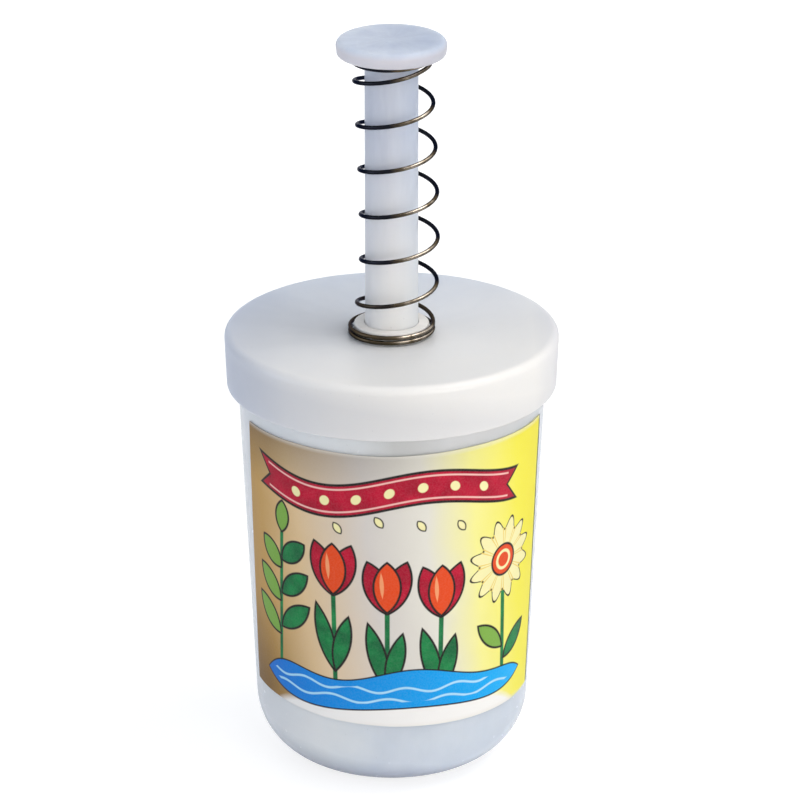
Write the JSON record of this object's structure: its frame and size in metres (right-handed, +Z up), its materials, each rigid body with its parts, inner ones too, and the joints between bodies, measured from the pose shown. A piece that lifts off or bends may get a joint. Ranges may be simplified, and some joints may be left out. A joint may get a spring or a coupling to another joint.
{
  "type": "hand seed sower",
  "caption": "Hand seed sower: a tapered plastic seed cup with a push-on lid and a spring-returned plunger that carries a pocket of seed out through its base.",
  "frame": {"origin": "middle of the flat foot on which the cup stands", "axes": "+Z up the common axis of cup and plunger towards the knob; the label faces -Y; +X to the right as the label is read"},
  "size_m": [0.0712, 0.0712, 0.1617],
  "materials": {
    "cup_plastic": "milky translucent moulded plastic, satin",
    "label_paper": "printed adhesive paper with a thin gloss varnish",
    "inner_plastic": "white moulded plastic, satin",
    "lid_plastic": "soft milky white moulded plastic, satin",
    "bush_plastic": "white moulded plastic, smooth",
    "spring_steel": "dark oil-tempered spring wire",
    "plunger_plastic": "white moulded plastic, smooth",
    "ring_steel": "bare spring steel",
    "stem_plastic": "white moulded plastic, smooth"
  },
  "bodies": {
    "cup": {"seed_cup": "cup_plastic", "front_label": "label_paper", "outlet_funnel": "inner_plastic", "outlet_nut": "inner_plastic"},
    "lid": {"snap_lid": "lid_plastic", "guide_bush": "bush_plastic", "return_spring": "spring_steel"},
    "plunger": {"plunger_tube": "plunger_plastic", "push_knob": "plunger_plastic", "stop_ring": "ring_steel", "metering_stem": "stem_plastic"}
  },
  "joints": [
    {"name": "lid_lift", "type": "slide", "parent": "cup", "child": "lid", "axis": [0, 0, 1], "range_m": [0, 0.1]},
    {"name": "plunger_press", "type": "slide", "parent": "lid", "child": "plunger", "axis": [0, 0, -1], "range_m": [0, 0.03], "stiffness_N_per_m": 246, "springref_m": -0.008, "deforming": ["return_spring"]}
  ]
}
